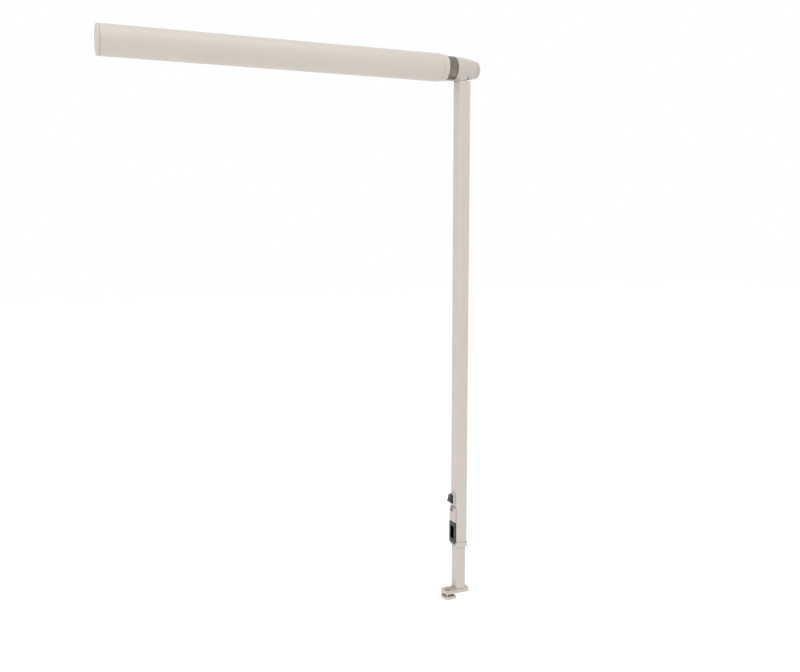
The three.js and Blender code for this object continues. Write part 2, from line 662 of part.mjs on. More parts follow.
function noseCap() {
  const r = BARREL_R - NOSE_DROP;
  const profile = [[NOSE_X - 6, 0], [NOSE_X - 6, CAVITY_R - GAP], [NOSE_X + GAP, CAVITY_R - GAP]];
  const steps = 7;
  for (let i = 0; i <= steps; i += 1) {
    const turn = (i / steps) * (Math.PI / 2);
    profile.push([NOSE_X + GAP + NOSE_LENGTH * Math.sin(turn), r * Math.cos(turn)]);
  }
  return turnX(profile, 0, AXIS_Z);
}

piece('elbow_casting', elbowCasting(), cream);
piece('nose_cap', noseCap(), cream);
piece('elbow_screw_lower', screwY(COLUMN_Y / 2, 6.5, 0, ELBOW_SCREWS[0], 1), steel);
piece('elbow_screw_upper', screwY(COLUMN_Y / 2, 6.5, 0, ELBOW_SCREWS[1], 1), steel);
const loomBottom = BALLAST_BOTTOM + BALLAST_LENGTH + GAP;
piece('lamp_loom', rodZ(WIRE_R + 0.5, [loomBottom, AXIS_Z - CAVITY_R - 2], PASSAGE_X, 0, 10), white);

const BUSH_OUTER = PIVOT_R + RUNNING + BUSH_WALL;
const bushLength = (WEB_LENGTH - 3 * GAP) / 2;
const bushStarts = { pivot_bush_outer: FLANGE_X + GAP, pivot_bush_inner: WEB_END - GAP - bushLength };
for (const [name, start] of Object.entries(bushStarts)) {
  piece(name, tubeX(BUSH_OUTER, PIVOT_R + RUNNING, [start, start + bushLength]), brass);
}

// ---- head -----------------------------------------------------------------------------------

const LIGHT = -90 + APERTURE_TURN; // direction of the light in the YZ plane, from +Y towards +Z
const BACK = LIGHT + 180;

const washer = [COLLAR_START + GAP, FLANGE_X - GAP];
piece('friction_washer', tubeX(BARREL_R - 2, PIVOT_R + RUNNING, washer), rubber);
piece('collar_ring', tubeX(HEAD_R - COLLAR_STEP, PIVOT_R + GAP, [COLLAR_END, COLLAR_START]), gunmetal);

const nutStart = WEB_END + GAP + WASHER + GAP;
piece('thrust_washer', tubeX(CAVITY_R - 1, PIVOT_R + RUNNING, [WEB_END + GAP, nutStart - GAP]), brass);

function pivotNut() {
  const geometry = new THREE.CylinderGeometry(CAVITY_R - 0.8, CAVITY_R - 0.8, NUT_LENGTH, 6);
  geometry.rotateZ(-Math.PI / 2);
  geometry.translate(nutStart + NUT_LENGTH / 2, 0, AXIS_Z);
  const bore = rodX(PIVOT_R + GAP, [nutStart - 1, nutStart + NUT_LENGTH + 1], 0, AXIS_Z, FINE);
  return solid(geometry).subtract(bore);
}

piece('pivot_nut', pivotNut(), steel);
piece('pivot_tube', tubeX(PIVOT_R, PIVOT_BORE, [TUBE_START + 1, nutStart + NUT_LENGTH + 3]), steel);
piece('head_loom', rodX(WIRE_R + 0.5, [TUBE_START + 1, nutStart + NUT_LENGTH + 3], 0, AXIS_Z, 10), white);

// A cap's plug: a ring that fits in the tube, over one or the other end.
function plug(x) {
  return tubeX(PLUG_R, PLUG_R - PLUG_WALL, x);
}

function capScrewHole(x) {
  return rodY(SCREW_R + GAP, [HEAD_R - 8, HEAD_R + 2], x, AXIS_Z);
}

const NEAR_SCREW_X = TUBE_START - PLUG_DEPTH / 2;
const FAR_SCREW_X = TUBE_END + PLUG_DEPTH / 2;
const CAP_FLOOR = 3;

function nearCap() {
  const skirt = tubeX(HEAD_R - NEAR_CAP_STEP, PIVOT_R + GAP, [TUBE_START + GAP, NEAR_CAP_START]);
  const hollow = rodX(PLUG_R - PLUG_WALL, [TUBE_START, NEAR_CAP_START - CAP_FLOOR], 0, AXIS_Z, FINE);
  const ring = plug([TUBE_START - PLUG_DEPTH, TUBE_START + GAP + 1]);
  return skirt.subtract(hollow).add(ring).subtract(capScrewHole(NEAR_SCREW_X));
}

function farCap() {
  const disc = rodX(HEAD_R, [TUBE_END - GAP - FAR_CAP_LENGTH, TUBE_END - GAP], 0, AXIS_Z, FINE);
  const ring = plug([TUBE_END - GAP - 1, TUBE_END + PLUG_DEPTH]);
  return disc.add(ring).subtract(capScrewHole(FAR_SCREW_X));
}

function headTube() {
  const tube = tubeX(HEAD_R, TUBE_BORE, [TUBE_END, TUBE_START]);
  const end = PLUG_DEPTH + APERTURE_END;
  const aperture = arcX(HEAD_R + 5, 2, LIGHT, APERTURE_HALF, [TUBE_END + end, TUBE_START - end], 8);
  return tube.subtract(aperture).subtract(capScrewHole(NEAR_SCREW_X)).subtract(capScrewHole(FAR_SCREW_X));
}

piece('near_cap', nearCap(), cream);
piece('far_cap', farCap(), cream);
piece('head_tube', headTube(), cream);
piece('near_cap_screw', screwY(HEAD_R, 6, NEAR_SCREW_X, AXIS_Z, 1), steel);
piece('far_cap_screw', screwY(HEAD_R, 6, FAR_SCREW_X, AXIS_Z, 1), steel);

const inner = [LAMP_END + 2, LAMP_START - 2];
const diffuserR = TUBE_BORE - GAP;
const diffuserHalf = APERTURE_HALF + DIFFUSER_LAP;
piece('diffuser', arcX(diffuserR, diffuserR - DIFFUSER_WALL, LIGHT, diffuserHalf, inner, 14), opal);
piece('reflector', arcX(REFLECTOR_R, REFLECTOR_R - REFLECTOR_WALL, BACK, REFLECTOR_HALF, inner, 24), white);

const backTurn = THREE.MathUtils.degToRad(BACK);
const wireR = (REFLECTOR_R + TUBE_BORE) / 2;
const wirePlace = [wireR * Math.cos(backTurn), AXIS_Z + wireR * Math.sin(backTurn)];
piece('return_wire', rodX(WIRE_R, inner, ...wirePlace, 10), white);

// The lamp stands between two holders; side is -1 at the far end and 1 at the near end.
function lampCap(face, side) {
  const disc = [face, face - side * LAMP_CAP].sort((a, b) => a - b);
  const pins = [face - side, face + side * LAMP_PIN_LENGTH].sort((a, b) => a - b);
  let cap = rodX(LAMP_R, disc, 0, AXIS_Z, 24);
  for (const offset of [-1, 1]) {
    cap = cap.add(rodX(LAMP_PIN_R, pins, 0, AXIS_Z + (offset * LAMP_PIN_PITCH) / 2, 12));
  }
  return cap;
}

function lampHolder(face, side) {
  const body = [face + side * GAP, face + side * (PLUG_DEPTH - GAP)].sort((a, b) => a - b);
  const slot = [face - side, face + side * (LAMP_PIN_LENGTH + GAP)].sort((a, b) => a - b);
  const halfY = LAMP_PIN_R + GAP;
  const halfZ = LAMP_PIN_PITCH / 2 + LAMP_PIN_R + GAP;
  const pocket = box(slot, [-halfY, halfY], [AXIS_Z - halfZ, AXIS_Z + halfZ]);
  return rodX(HOLDER_R, body, 0, AXIS_Z, 24).subtract(pocket);
}

const glass = [LAMP_END + LAMP_CAP + GAP, LAMP_START - LAMP_CAP - GAP];
piece('lamp_glass', tubeX(LAMP_R, LAMP_R - LAMP_WALL, glass, 24), opal);
piece('lamp_cap_near', lampCap(LAMP_START, 1), steel);
piece('lamp_cap_far', lampCap(LAMP_END, -1), steel);
piece('lampholder_near', lampHolder(LAMP_START, 1), white);
piece('lampholder_far', lampHolder(LAMP_END, -1), white);

export default lamp;
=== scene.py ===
# Looks for a tubular task lamp with a telescopic column and an edge clamp.
# Metres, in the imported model's own frame: +Z up the column, the head along -X.

import json
import math

import bmesh
import bpy
from mathutils import Matrix, Vector


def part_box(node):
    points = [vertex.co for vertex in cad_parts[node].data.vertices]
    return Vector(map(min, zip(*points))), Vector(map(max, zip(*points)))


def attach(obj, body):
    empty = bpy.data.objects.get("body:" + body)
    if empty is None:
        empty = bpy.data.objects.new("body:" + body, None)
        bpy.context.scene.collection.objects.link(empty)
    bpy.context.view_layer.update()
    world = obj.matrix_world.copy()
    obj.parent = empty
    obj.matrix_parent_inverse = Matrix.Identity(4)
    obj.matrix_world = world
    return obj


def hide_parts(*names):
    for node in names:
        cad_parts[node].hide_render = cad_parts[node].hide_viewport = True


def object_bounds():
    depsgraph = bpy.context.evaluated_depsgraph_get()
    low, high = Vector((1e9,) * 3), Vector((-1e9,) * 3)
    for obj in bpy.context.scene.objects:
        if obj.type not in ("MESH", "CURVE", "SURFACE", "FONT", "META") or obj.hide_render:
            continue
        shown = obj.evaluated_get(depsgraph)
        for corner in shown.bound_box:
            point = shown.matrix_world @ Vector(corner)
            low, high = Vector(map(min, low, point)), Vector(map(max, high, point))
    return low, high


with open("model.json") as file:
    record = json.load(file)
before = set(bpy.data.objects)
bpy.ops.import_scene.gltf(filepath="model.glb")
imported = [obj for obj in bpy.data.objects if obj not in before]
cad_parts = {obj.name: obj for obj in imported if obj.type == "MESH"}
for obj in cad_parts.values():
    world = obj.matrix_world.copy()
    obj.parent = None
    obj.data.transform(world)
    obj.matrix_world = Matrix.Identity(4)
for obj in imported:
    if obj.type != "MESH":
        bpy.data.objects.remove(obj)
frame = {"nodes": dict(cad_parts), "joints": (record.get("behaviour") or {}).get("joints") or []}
cad_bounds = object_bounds()

MM = 0.001
X, Y, Z = Vector((1, 0, 0)), Vector((0, 1, 0)), Vector((0, 0, 1))

# ---- measures taken from the frame ----------------------------------------------------------

pivot_low, pivot_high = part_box("pivot_tube")
AXIS_Z = (pivot_low.z + pivot_high.z) / 2
AXIS = Vector((0, 0, AXIS_Z))

# Directions in the YZ plane, in degrees from +Y towards +Z.
LIGHT_DIRECTION = -42
APERTURE_HALF = 35
APERTURE_MARGIN = 19 * MM
HEAD_WALL = 1.5 * MM
COLUMN_CORNER = 5 * MM
COLUMN_WALL = 1.8 * MM
POST_WALL = 1.6 * MM
SLOT_BOTTOM = 90 * MM
SLOT_WIDTH = 19.6 * MM
HOLE_SIDES = 24
GAP = 0.3 * MM  # between neighbouring pieces
NECK_EDGE = 3.0 * MM  # the neck's and the spigot's +X side
ROCKER_TILT = 14  # degrees, at rest
SCREW_SHANK = 1.6 * MM
SHARP = {"opal strip": 20, "thread": 35, "screw": 40}  # degrees past which an edge is shaded sharp


def size(node):
    low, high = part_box(node)
    return high - low


def middle(node):
    low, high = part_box(node)
    return (low + high) / 2


def radius(node):
    return size(node).y / 2


# ---- materials ------------------------------------------------------------------------------

def shader_of(name, **sockets):
    """A new material and its main shader, with the uniform values set on the shader's sockets."""
    material = bpy.data.materials.new(name)
    material.use_nodes = True
    shader = material.node_tree.nodes["Principled BSDF"]
    for socket, value in sockets.items():
        shader.inputs[socket.replace("_", " ")].default_value = value
    return material, shader


def noise(tree, scale, stretch=(1, 1, 1), detail=4.0):
    """Noise on Object coordinates. Scale is in cycles per metre."""
    place = tree.nodes.new("ShaderNodeTexCoord")
    mapping = tree.nodes.new("ShaderNodeMapping")
    mapping.inputs["Scale"].default_value = stretch
    texture = tree.nodes.new("ShaderNodeTexNoise")
    texture.inputs["Scale"].default_value = scale
    texture.inputs["Detail"].default_value = detail
    tree.links.new(place.outputs["Object"], mapping.inputs["Vector"])
    tree.links.new(mapping.outputs["Vector"], texture.inputs["Vector"])
    return texture.outputs["Fac"]


def spread(tree, value, low, high, from_low=0.3, from_high=0.7):
    """Stretches a noise value over a range."""
    node = tree.nodes.new("ShaderNodeMapRange")
    node.inputs["From Min"].default_value = from_low
    node.inputs["From Max"].default_value = from_high
    node.inputs["To Min"].default_value = low
    node.inputs["To Max"].default_value = high
    tree.links.new(value, node.inputs["Value"])
    return node.outputs["Result"]


def two_tone(tree, value, dark, light):
    """A colour between two, by a noise value."""
    ramp = tree.nodes.new("ShaderNodeValToRGB")
    ramp.color_ramp.elements[0].position = 0.32
    ramp.color_ramp.elements[0].color = (*dark, 1)
    ramp.color_ramp.elements[1].position = 0.68
    ramp.color_ramp.elements[1].color = (*light, 1)
    tree.links.new(value, ramp.inputs["Fac"])
    return ramp.outputs["Color"]


def blend_colours(tree, share, first, second):
    mix = tree.nodes.new("ShaderNodeMix")
    mix.data_type = "RGBA"
    tree.links.new(share, mix.inputs["Factor"])
    tree.links.new(first, mix.inputs[6])
    tree.links.new(second, mix.inputs[7])
    return mix.outputs[2]


def bumps(tree, shader, *layers):
    """Layers of relief, each (height value, depth in metres, strength)."""
    normal = None
    for height, depth, strength in layers:
        bump = tree.nodes.new("ShaderNodeBump")
        bump.inputs["Distance"].default_value = depth
        bump.inputs["Strength"].default_value = strength
        tree.links.new(height, bump.inputs["Height"])
        if normal:
            tree.links.new(normal, bump.inputs["Normal"])
        normal = bump.outputs["Normal"]
    tree.links.new(normal, shader.inputs["Normal"])


def powder_coat(name, tone, peel=900, peel_depth=0.06 * MM, worn=False):
    """Satin stoved paint: faint clouds of tone, fine specks, painted shade that darkens creases and recesses,
    and the skin that the powder leaves.
    """
    material, shader = shader_of(name, IOR=1.5, Coat_Weight=0.12, Coat_Roughness=0.25)
    tree = material.node_tree
    light = tone
    dark = tuple(c * 0.955 for c in tone)
    clouds = two_tone(tree, noise(tree, 14, detail=3), dark, light)
    speck_dark = tuple(c * 0.90 for c in tone)
    specks = two_tone(tree, noise(tree, 2600, detail=2), speck_dark, light)
    share = spread(tree, noise(tree, 500, detail=2), 0.0, 0.35, 0.45, 0.75)
    colour = blend_colours(tree, share, clouds, specks)
    # Painted shade: an ambient-occlusion node darkens the paint in creases, recesses and gaps between parts,
    # where shade falls.
    painted_crease_shade = tree.nodes.new("ShaderNodeAmbientOcclusion")
    painted_crease_shade.samples = 8
    painted_crease_shade.inputs["Distance"].default_value = 14 * MM
    shade_dark = tuple(c * 0.70 for c in tone)
    shade_light = tuple(c * 0.78 for c in tone)
    shade = two_tone(tree, noise(tree, 60), shade_dark, shade_light)
    colour = blend_colours(tree, spread(tree, painted_crease_shade.outputs["AO"], 1.0, 0.0, 0.25, 0.85), colour, shade)
    if worn:
        geometry = tree.nodes.new("ShaderNodeNewGeometry")
        edge = spread(tree, geometry.outputs["Pointiness"], 0.0, 0.5, 0.515, 0.60)
        rubbed_dark = tuple(c * 1.06 for c in tone)
        rubbed_light = tuple(c * 1.12 for c in tone)
        rubbed = two_tone(tree, noise(tree, 300), rubbed_dark, rubbed_light)
        colour = blend_colours(tree, edge, colour, rubbed)
    tree.links.new(colour, shader.inputs["Base Color"])
    tree.links.new(spread(tree, noise(tree, 160, detail=5), 0.36, 0.50), shader.inputs["Roughness"])
    skin = noise(tree, peel, detail=2)
    dust = noise(tree, 4200, detail=1)
    bumps(tree, shader, (skin, peel_depth, 0.5), (dust, 0.01 * MM, 0.4))
    return material


def turned_metal(name, dark, light, roughness, stretch, depth=0.012 * MM):
    """Metal with the fine lines that a tool leaves, drawn out along the directions of small stretch."""
    material, shader = shader_of(name, Metallic=1.0)
    tree = material.node_tree
    lines = noise(tree, 1.0, stretch, 5)
    stain = noise(tree, 120, detail=4)
    colour = blend_colours(
        tree,
        spread(tree, stain, 0, 0.6),
        two_tone(tree, lines, dark, light),
        two_tone(tree, stain, tuple(c * 0.8 for c in dark), light),
    )
    tree.links.new(colour, shader.inputs["Base Color"])
    tree.links.new(spread(tree, lines, roughness * 0.75, roughness * 1.3), shader.inputs["Roughness"])
    bumps(tree, shader, (lines, depth, 0.5), (noise(tree, 900, detail=3), depth, 0.25))
    return material


def moulded(name, dark, light, roughness, grain=1800, depth=0.03 * MM, **sockets):
    """A moulded plastic or rubber with a fine spark-eroded grain."""
    material, shader = shader_of(name, **sockets)
    tree = material.node_tree
    colour = two_tone(tree, noise(tree, 220, detail=5), dark, light)
    tree.links.new(colour, shader.inputs["Base Color"])
    rough = spread(tree, noise(tree, 90, detail=5), roughness * 0.85, roughness * 1.2)
    tree.links.new(rough, shader.inputs["Roughness"])
    bumps(tree, shader, (noise(tree, grain, detail=2), depth, 0.6))
    return material


PAINT = (0.535, 0.490, 0.437)
tube_paint = powder_coat("tube_paint", PAINT)
CAST_PAINT = (0.495, 0.452, 0.400)
cast_paint = powder_coat("cast_paint", CAST_PAINT, peel=700, peel_depth=0.10 * MM, worn=True)
RING_LINES = (5200, 25, 25)  # turned about X
gunmetal = turned_metal("gunmetal", (0.155, 0.130, 0.106), (0.30, 0.262, 0.225), 0.2, RING_LINES)
dark_steel = turned_metal("dark_steel", (0.05, 0.045, 0.04), (0.12, 0.11, 0.10), 0.35, (300, 300, 5200))
bright_steel = turned_metal("bright_steel", (0.48, 0.47, 0.45), (0.68, 0.67, 0.65), 0.3, (900, 900, 900))
brass = turned_metal("turned_brass", (0.50, 0.34, 0.13), (0.72, 0.53, 0.25), 0.28, (4000, 25, 25))
black_plastic = moulded("black_plastic", (0.012, 0.010, 0.009), (0.030, 0.026, 0.023), 0.42)
rocker_plastic = moulded(
    "rocker_plastic", (0.008, 0.007, 0.006), (0.018, 0.015, 0.013), 0.25, depth=0.01 * MM
)
cream_plastic = moulded("cream_plastic", (0.52, 0.48, 0.43), (0.60, 0.56, 0.51), 0.45)
white_plastic = moulded("white_plastic", (0.72, 0.71, 0.68), (0.80, 0.79, 0.76), 0.5)
black_rubber = moulded("black_rubber", (0.014, 0.013, 0.012), (0.035, 0.033, 0.030), 0.8, 1200, 0.08 * MM)
reflector_white = moulded("reflector_white", (0.80, 0.80, 0.78), (0.86, 0.86, 0.84), 0.35, 900, 0.02 * MM)
lamp_white = moulded("lamp_white", (0.84, 0.83, 0.80), (0.90, 0.89, 0.86), 0.18, 600, 0.005 * MM)
opal = moulded("opal_sheet", (0.84, 0.83, 0.80), (0.90, 0.89, 0.86), 0.32, 2200, 0.02 * MM,
               Transmission_Weight=0.35, IOR=1.49)

# ---- mesh helpers ---------------------------------------------------------------------------

def as_object(bm, name):
    bmesh.ops.remove_doubles(bm, verts=bm.verts, dist=0.002 * MM)
    bmesh.ops.recalc_face_normals(bm, faces=bm.faces)
    mesh = bpy.data.meshes.new(name)
    bm.to_mesh(mesh)
    bm.free()
    thing = bpy.data.objects.new(name, mesh)
    bpy.context.scene.collection.objects.link(thing)
    return thing


def settle(thing):
    """Turns an object's modifiers into its mesh."""
    bpy.context.view_layer.update()
    graph = bpy.context.evaluated_depsgraph_get()
    mesh = bpy.data.meshes.new_from_object(thing.evaluated_get(graph))
    old = thing.data
    thing.modifiers.clear()
    thing.data = mesh
    bpy.data.meshes.remove(old)


def combine(thing, other, operation):
    """Joins or cuts one object by another, which is used up."""
    boolean = thing.modifiers.new("boolean", "BOOLEAN")
    boolean.operation = operation
    boolean.solver = "EXACT"
    boolean.object = other
    settle(thing)
    bpy.data.objects.remove(other)


def gather(thing, other):
    """Puts a second closed shell into an object's mesh, for a melt to make one skin of the two."""
    bm = bmesh.new()
    bm.from_mesh(thing.data)
    bm.from_mesh(other.data)
    bm.to_mesh(thing.data)
    bm.free()
    bpy.data.objects.remove(other)


def melt(thing, voxel, passes):
    """One even skin over all of an object's shells, with its corners softened as a casting's are."""
    skin = thing.modifiers.new("melt", "REMESH")
    skin.mode = "VOXEL"
    skin.voxel_size = voxel
    skin.adaptivity = 0
    settle(thing)
    even = thing.modifiers.new("even", "SMOOTH")
    even.factor = 0.5
    even.iterations = passes
    settle(thing)


def ease_edges(thing, width, segments=3, angle=38):
    """Rounds the sharp edges as a modifier, and keeps the flats flat in the shading."""
    bevel = thing.modifiers.new("eased", "BEVEL")
    bevel.width = width
    bevel.segments = segments
    bevel.limit_method = "ANGLE"
    bevel.angle_limit = math.radians(angle)
    normals = thing.modifiers.new("flats", "WEIGHTED_NORMAL")
    normals.keep_sharp = False


def fit(thing, body, slot, material, *nodes):
    """Gives a piece its finish and its body, and hides the CAD nodes that it stands for."""
    thing.data.materials.clear()
    thing.data.materials.append(material)
    for polygon in thing.data.polygons:
        polygon.use_smooth = True
    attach(thing, body)
    if nodes:
        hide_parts(*nodes)
    return thing


def to_axis(direction):
    """A turn that takes +Z to a direction."""
    return Z.rotation_difference(Vector(direction)).to_matrix().to_4x4()


def turned(name, profile, centre, direction=X, steps=96):
    """Spins a profile of (distance along the axis, radius) pairs.

    The profile starts and ends on the axis, or closes on itself.
    """
    bm = bmesh.new()
    verts = [bm.verts.new((r, 0, along)) for along, r in profile]
    edges = [bm.edges.new(pair) for pair in zip(verts, verts[1:])]
    bmesh.ops.spin(
        bm, geom=verts + edges, cent=(0, 0, 0), axis=(0, 0, 1), angle=2 * math.pi, steps=steps, use_merge=True
    )
    bmesh.ops.transform(bm, matrix=Matrix.Translation(centre) @ to_axis(direction), verts=bm.verts)
    return as_object(bm, name)


def block(name, low, high, corner=0.0, along=2, segments=8):
    """A box whose four edges along one axis are rounded."""
    bm = bmesh.new()
    bmesh.ops.create_cube(bm, size=1)
    bmesh.ops.scale(bm, vec=high - low, verts=bm.verts)
    bmesh.ops.translate(bm, vec=(low + high) / 2, verts=bm.verts)
    if corner:
        others = [axis for axis in range(3) if axis != along]
        edges = []
        for edge in bm.edges:
            a, b = (vert.co for vert in edge.verts)
            if all(abs(a[axis] - b[axis]) < 1e-7 for axis in others):
                edges.append(edge)
        bmesh.ops.bevel(
            bm, geom=edges, offset=corner, affect="EDGES", segments=segments, profile=0.5, material=-1
        )
    return as_object(bm, name)


def rod(name, r, start, end, sides=HOLE_SIDES):
    """A plain round cutter or pin between two points."""
    start, end = Vector(start), Vector(end)
    bm = bmesh.new()
    bmesh.ops.create_cone(bm, cap_ends=True, segments=sides, radius1=r, radius2=r, depth=(end - start).length)
    place = Matrix.Translation((start + end) / 2) @ to_axis(end - start)
    bmesh.ops.transform(bm, matrix=place, verts=bm.verts)
    return as_object(bm, name)


def drill(thing, r, start, end, sides=HOLE_SIDES):
    combine(thing, rod("cutter", r, start, end, sides), "DIFFERENCE")


# ---- head -----------------------------------------------------------------------------------

def head_tube():
    low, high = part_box("head_tube")
    r = radius("head_tube")
    step = 2.5
    start = math.radians(LIGHT_DIRECTION - APERTURE_HALF)
    first, last = low.x + APERTURE_MARGIN, high.x - APERTURE_MARGIN
    bm = bmesh.new()
    first_y, first_z = r * math.cos(start), AXIS_Z + r * math.sin(start)
    line = [bm.verts.new((x, first_y, first_z)) for x in (low.x, first, last, high.x)]
    edges = [bm.edges.new(pair) for pair in zip(line, line[1:])]
    steps = int(360 / step)
    bmesh.ops.spin(
        bm, geom=line + edges, cent=AXIS, axis=X, angle=2 * math.pi, steps=steps, use_merge=True
    )
    light = math.radians(LIGHT_DIRECTION)
    toward = Vector((0, math.cos(light), math.sin(light)))
    aperture = []
    for face in bm.faces:
        centre = face.calc_center_median()
        if first < centre.x < last:
            off_axis = (centre - AXIS) * Vector((0, 1, 1))
            if math.degrees(off_axis.angle(toward)) < APERTURE_HALF:
                aperture.append(face)
    bmesh.ops.delete(bm, geom=aperture, context="FACES")
    tube = as_object(bm, "lamp_head_tube")
    wall = tube.modifiers.new("wall", "SOLIDIFY")
    wall.thickness = HEAD_WALL
    wall.offset = -1
    wall.use_even_offset = True
    settle(tube)
    ease_edges(tube, 0.35 * MM)
    return fit(tube, "head", "painted_tube", tube_paint, "head_tube")


def near_cap():
    low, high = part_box("near_cap")
    r = radius("near_cap")
    tube_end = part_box("head_tube")[1].x
    plug_r = radius("head_tube") - HEAD_WALL - GAP
    profile = [
        (low.x, 0),
        (low.x, plug_r),
        (tube_end + GAP, plug_r),
        (tube_end + GAP, r - 0.5 * MM),
        (tube_end + 0.8 * MM, r),
        (high.x - 1.6 * MM, r),
        (high.x - 1.1 * MM, r - 0.4 * MM),
        (high.x - 0.4 * MM, r - 1.2 * MM),
        (high.x, r - 2.4 * MM),
        (high.x, 0),
    ]
    cap = turned("lamp_near_cap", profile, AXIS)
    ease_edges(cap, 0.25 * MM)
    return fit(cap, "head", "painted_casting", tube_paint, "near_cap")


def far_cap():
    low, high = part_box("far_cap")
    r = radius("far_cap")
    tube_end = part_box("head_tube")[0].x
    plug_r = radius("head_tube") - HEAD_WALL - GAP
    profile = [
        (high.x, 0),
        (high.x, plug_r),
        (tube_end - GAP, plug_r),
        (tube_end - GAP, r),
        (low.x + 0.9 * MM, r),
        (low.x + 0.3 * MM, r - 0.3 * MM),
        (low.x, r - 1.0 * MM),
        (low.x, r - 5.0 * MM),
        (low.x + 0.5 * MM, r - 5.6 * MM),
        (low.x + 0.5 * MM, 0),
    ]
    cap = turned("lamp_far_cap", profile, AXIS)
    ease_edges(cap, 0.2 * MM)
    return fit(cap, "head", "painted_casting", tube_paint, "far_cap")


def collar_ring():
    low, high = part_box("collar_ring")
    r = radius("collar_ring")
    bore = radius("pivot_tube") + GAP
    groove = 0.5 * MM
    profile = [(low.x, bore), (low.x, r - 0.9 * MM), (low.x + 0.9 * MM, r)]
    for start in (low.x + 2.2 * MM, high.x - 3.2 * MM):
        profile += [
            (start, r),
            (start + 0.2 * MM, r - groove),
            (start + 0.8 * MM, r - groove),
            (start + 1.0 * MM, r),
        ]
    profile += [(high.x - 0.9 * MM, r), (high.x, r - 0.9 * MM), (high.x, bore), (low.x, bore)]
    ring = turned("lamp_collar_ring", profile, AXIS, steps=128)
    ease_edges(ring, 0.12 * MM, 2, 25)
    return fit(ring, "head", "dark_metal", gunmetal, "collar_ring")


def diffuser():
    """An opal strip with fine ribs along its inner face."""
    low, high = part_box("diffuser")
    outer = radius("head_tube") - HEAD_WALL - GAP
    inner = outer - 1.5 * MM
    half = APERTURE_HALF + 7
    ribs = 56
    bm = bmesh.new()
    section = []
    for i in range(ribs + 1):
        turn = math.radians(LIGHT_DIRECTION - half + 2 * half * i / ribs)
        section.append((outer, turn))
    for i in range(2 * ribs, -1, -1):
        turn = math.radians(LIGHT_DIRECTION - half + half * i / ribs)
        section.append((inner - (0.25 * MM if i % 2 else 0), turn))
    verts = [bm.verts.new((low.x, r * math.cos(t), AXIS_Z + r * math.sin(t))) for r, t in section]
    face = bm.faces.new(verts)
    pushed = bmesh.ops.extrude_face_region(bm, geom=[face])
    moved = [v for v in pushed["geom"] if isinstance(v, bmesh.types.BMVert)]
    bmesh.ops.translate(bm, vec=X * (high.x - low.x), verts=moved)
    strip = as_object(bm, "lamp_diffuser")
    fit(strip, "head", "opal_plastic", opal, "diffuser")
    strip.data.set_sharp_from_angle(angle=math.radians(SHARP["opal strip"]))
    return strip


# ---- elbow ----------------------------------------------------------------------------------

def elbow():
    """Barrel and neck are joined, then melted together as a casting is."""
    low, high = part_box("elbow_casting")
    column_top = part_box("column_tube")[1].z
    half_x, half_y = size("column_tube").x / 2, size("column_tube").y / 2
    r = radius("elbow_casting")
    end_r = radius("nose_cap")
    fall = r - end_r
    reach = high.x - low.x
    washer_r = radius("friction_washer") + 0.4 * MM
    lip = low.x - 0.7 * MM
    profile = [(low.x, 0), (low.x, washer_r), (lip, washer_r), (lip, r), (low.x + 2 * MM, r)]
    for i in range(1, 13):
        t = i / 12
        profile.append((low.x + 2 * MM + (reach - 2 * MM) * t, r - fall * t ** 2.2))
    profile.append((high.x, 0))
    barrel = turned("lamp_elbow", profile, AXIS)

    bm = bmesh.new()
    bmesh.ops.create_grid(bm, x_segments=1, y_segments=1, size=0.5)
    left, right = -half_x, NECK_EDGE
    bmesh.ops.scale(bm, vec=(right - left, 2 * half_y, 1), verts=bm.verts)
    bmesh.ops.translate(bm, vec=((left + right) / 2, 0, column_top + GAP), verts=bm.verts)
    corner = 3.6 * MM
    bmesh.ops.bevel(
        bm, geom=bm.verts[:], offset=corner, affect="VERTICES", segments=6, profile=0.5, material=-1
    )
    steps = 6
    rise = 15.0 * MM
    face = bm.faces[:][0]
    for i in range(steps):
        pushed = bmesh.ops.extrude_face_region(bm, geom=[face])
        moved = [v for v in pushed["geom"] if isinstance(v, bmesh.types.BMVert)]
        face = [f for f in pushed["geom"] if isinstance(f, bmesh.types.BMFace)][0]
        bmesh.ops.translate(bm, vec=Z * (rise / steps), verts=moved)
        about = Matrix.Translation((-left, 0, 0))
        wide = 1 + 0.075 * (0.4 + i / steps)
        deep = 1 + 0.035 * i / steps
        bmesh.ops.scale(bm, vec=(wide, deep, 1), space=about, verts=moved)
    neck = as_object(bm, "neck")
    gather(barrel, neck)
    melt(barrel, 0.45 * MM, 9)
    fit(barrel, "column", "painted_casting", cast_paint, "elbow_casting")
    return barrel


def elbow_spigot():
    """The part of the casting that goes down into the column, seen through the notch beside the neck."""
    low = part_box("elbow_casting")[0]
    column_low, column_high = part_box("column_tube")
    inset = COLUMN_WALL + GAP
    bottom = Vector((column_low.x + inset, column_low.y + inset, low.z))
    top = Vector((NECK_EDGE, column_high.y - inset, column_high.z + 0.4 * MM))
    spigot = block("lamp_elbow_spigot", bottom, top, 2.5 * MM)
    ease_edges(spigot, 0.3 * MM)
    return fit(spigot, "column", "painted_casting", cast_paint)


def nose_cap():
    low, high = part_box("nose_cap")
    r = radius("nose_cap")
    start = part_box("elbow_casting")[1].x + GAP
    plug = r - 2.1 * MM
    profile = [(low.x, 0), (low.x, plug), (start, plug), (start, r - 0.35 * MM), (start + 0.35 * MM, r)]
    steps = 18
    reach = high.x - start - 0.35 * MM
    for i in range(1, steps + 1):
        turn = (i / steps) * math.pi / 2
        along = start + 0.35 * MM + reach * math.sin(turn)
        profile.append((along, r * math.cos(turn) ** 0.82 if i < steps else 0))
    cap = turned("lamp_nose_cap", profile, AXIS)
    return fit(cap, "column", "painted_casting", cast_paint, "nose_cap")


# ---- column ---------------------------------------------------------------------------------

